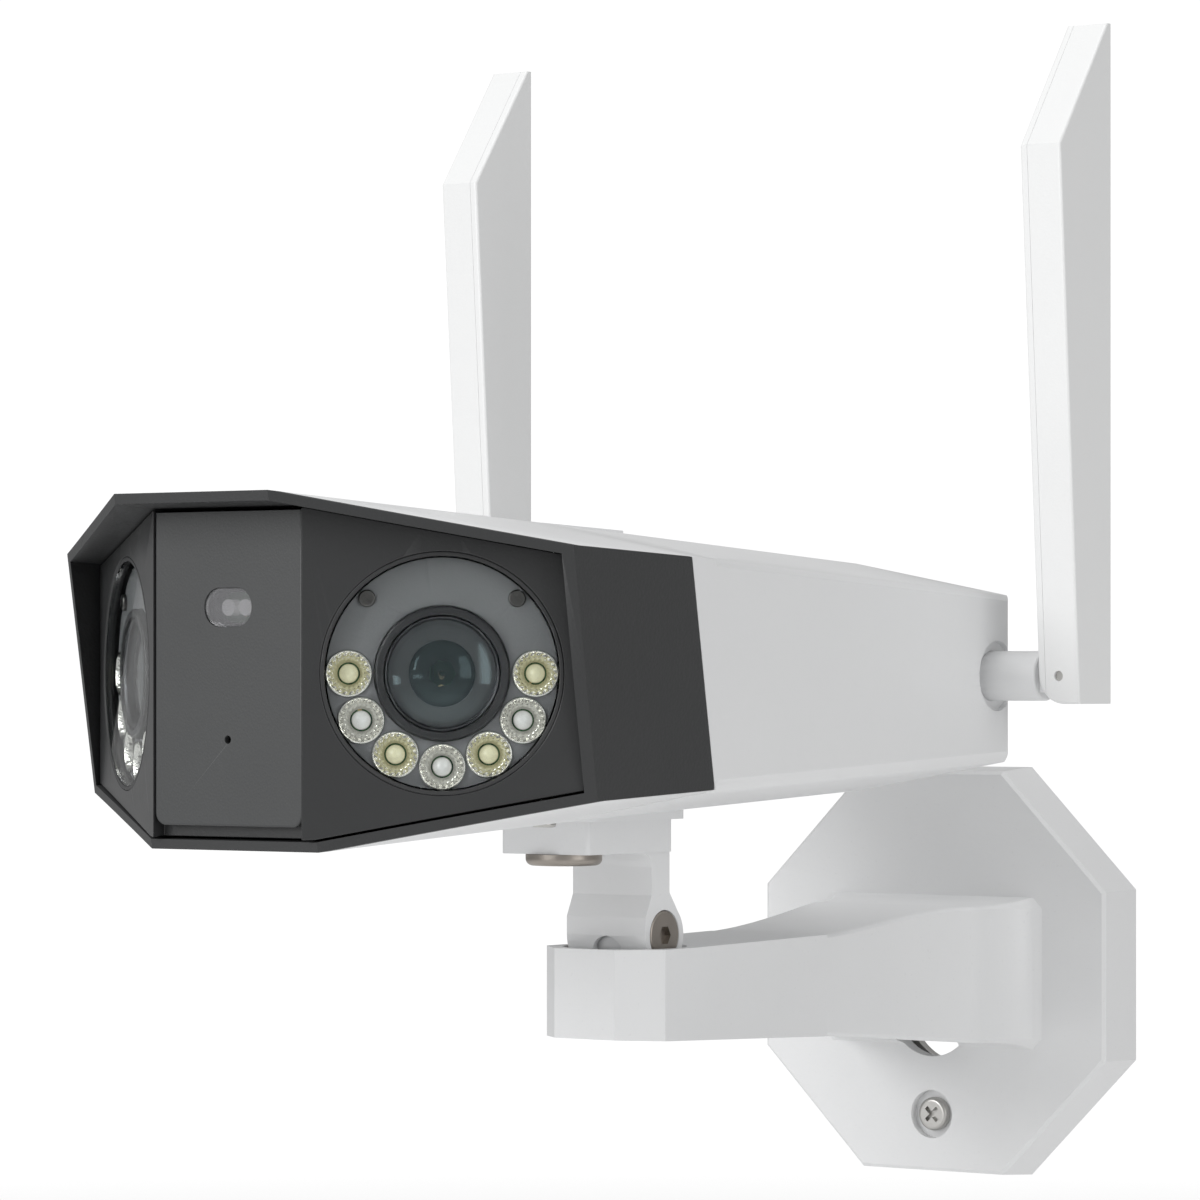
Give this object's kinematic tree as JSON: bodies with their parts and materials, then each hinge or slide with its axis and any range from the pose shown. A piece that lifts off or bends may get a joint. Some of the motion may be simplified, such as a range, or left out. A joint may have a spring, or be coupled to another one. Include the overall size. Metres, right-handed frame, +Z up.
{
  "type": "security camera",
  "caption": "Outdoor wall camera with twin angled lens windows, a visor hood, folding blade antennas and a tilting arm bracket.",
  "frame": {"origin": "centre of the wall plate's rear face, between its four wall screw holes", "axes": "+Y into the wall, so the camera looks along -Y; +Z up; +X to the right of someone who faces the lenses"},
  "size_m": [0.1324, 0.2235, 0.2053],
  "materials": {
    "white_shell": "satin",
    "white_antenna": "satin",
    "white_cast": "fine powder coat",
    "black_shell": "fine matt",
    "grey_panel": "satin",
    "smoked_window": "gloss",
    "clear_window": "polished",
    "lens_glass": "coated",
    "ring_grey": "satin",
    "lens_black": "matt black",
    "lens_grey": "dark anodised",
    "reflector": "bright",
    "warm_chip": "clear dome",
    "pale_chip": "clear dome",
    "steel": "plated",
    "bronzed_steel": "plated",
    "dark_metal": "blackened",
    "brass": "turned",
    "circuit_board": "solder mask",
    "black_chip": "moulded",
    "aluminium": "extruded",
    "seal_rubber": "soft"
  },
  "bodies": {
    "bracket": {"wall_plate": "steel", "bracket_arm": "white_cast", "lock_screw": "steel", "pan_washer": "steel"},
    "knuckle": {"pan_knuckle": "white_cast", "pan_screw": "steel"},
    "leg": {"mounting_leg": "white_cast", "tilt_bolt": "bronzed_steel", "tilt_nut": "bronzed_steel"},
    "camera": {"housing": "white_shell", "front_shroud": "black_shell", "front_gasket": "seal_rubber", "fascia": "black_shell", "centre_panel": "grey_panel", "sensor_window": "smoked_window", "sensor_board": "circuit_board", "microphone": "dark_metal", "light_sensor": "pale_chip", "ring_screws": "dark_metal", "led_reflectors": "reflector", "white_lights": "warm_chip", "infrared_lights": "pale_chip", "window_rings": "black_shell", "window_glasses": "clear_window", "ring_plates": "ring_grey", "led_boards": "circuit_board", "lens_barrels": "lens_black", "lens_collars": "lens_grey", "lens_baffles": "lens_black", "lens_glasses": "lens_glass", "image_sensors": "circuit_board", "lens_holders": "black_shell", "chassis": "black_shell", "chassis_screws": "steel", "main_board": "circuit_board", "board_chips": "black_chip", "heat_sink": "aluminium", "speaker": "black_chip", "card_socket": "steel", "button_housing": "black_chip", "card_cover": "white_shell", "rear_cover": "white_shell", "cover_gaskets": "seal_rubber", "cover_screws": "steel", "cable_gland": "seal_rubber", "gland_nut": "steel", "mount_insert": "brass", "foot_screw": "steel", "antenna_clips": "steel"},
    "reset": {"reset_button": "black_shell"},
    "right_stem": {"right_antenna_stem": "white_shell"},
    "right_blade": {"right_antenna_inner_shell": "white_antenna", "right_antenna_outer_shell": "white_antenna", "right_antenna_aerial": "circuit_board", "right_antenna_pin": "steel"},
    "left_stem": {"left_antenna_stem": "white_shell"},
    "left_blade": {"left_antenna_inner_shell": "white_antenna", "left_antenna_outer_shell": "white_antenna", "left_antenna_aerial": "circuit_board", "left_antenna_pin": "steel"}
  },
  "joints": [
    {"name": "arm_pan", "type": "hinge", "parent": "bracket", "child": "knuckle", "pos_m": [0, -0.1084, 0.0002], "axis": [0, 0, 1], "range_deg": [-90, 90]},
    {"name": "head_tilt", "type": "hinge", "parent": "knuckle", "child": "leg", "pos_m": [0, -0.1084, 0.0107], "axis": [1, 0, 0], "range_deg": [-20, 50]},
    {"name": "head_swivel", "type": "hinge", "parent": "leg", "child": "camera", "pos_m": [0, -0.1261, 0.0282], "axis": [0, 0, 1], "range_deg": [-30, 30]},
    {"name": "reset_push", "type": "slide", "parent": "camera", "child": "reset", "axis": [0, 0, 1], "range_m": [0, 0.0005], "stiffness_N_per_m": 200, "springref_m": -0.001},
    {"name": "right_antenna_turn", "type": "hinge", "parent": "camera", "child": "right_stem", "pos_m": [0.05, -0.0634, 0.055], "axis": [1, 0, 0], "range_deg": [-175, 175]},
    {"name": "right_antenna_fold", "type": "hinge", "parent": "right_stem", "child": "right_blade", "pos_m": [0.0622, -0.0634, 0.055], "axis": [0, 1, 0], "range_deg": [0, 90]},
    {"name": "left_antenna_turn", "type": "hinge", "parent": "camera", "child": "left_stem", "pos_m": [-0.05, -0.0634, 0.055], "axis": [-1, 0, 0], "range_deg": [-175, 175]},
    {"name": "left_antenna_fold", "type": "hinge", "parent": "left_stem", "child": "left_blade", "pos_m": [-0.0622, -0.0634, 0.055], "axis": [0, -1, 0], "range_deg": [0, 90]}
  ]
}
